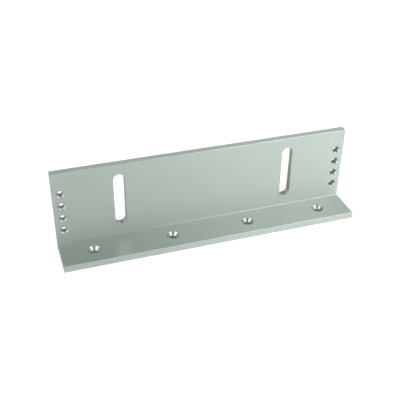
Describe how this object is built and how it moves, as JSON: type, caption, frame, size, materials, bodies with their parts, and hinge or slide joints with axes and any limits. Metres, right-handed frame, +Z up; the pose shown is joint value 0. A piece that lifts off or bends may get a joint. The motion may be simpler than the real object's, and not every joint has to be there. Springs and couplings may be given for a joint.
{
  "type": "magnetic lock mounting bracket",
  "caption": "L-shaped extruded aluminium bracket for a magnetic door lock, with upright adjusting slots, countersunk foot holes and a tapped column at each end.",
  "frame": {"origin": "centre of the footprint, on the underside of the foot (the short leg)", "axes": "+X along the bracket, +Y from the foot's front edge to the upright's back face, +Z up the upright (the tall leg)"},
  "size_m": [0.2666, 0.0382, 0.0762],
  "materials": {
    "anodised_aluminium": "satin, clear anodised, with a faint cool green-grey cast"
  },
  "bodies": {
    "root": {"angle_bracket": "anodised_aluminium"}
  },
  "joints": []
}
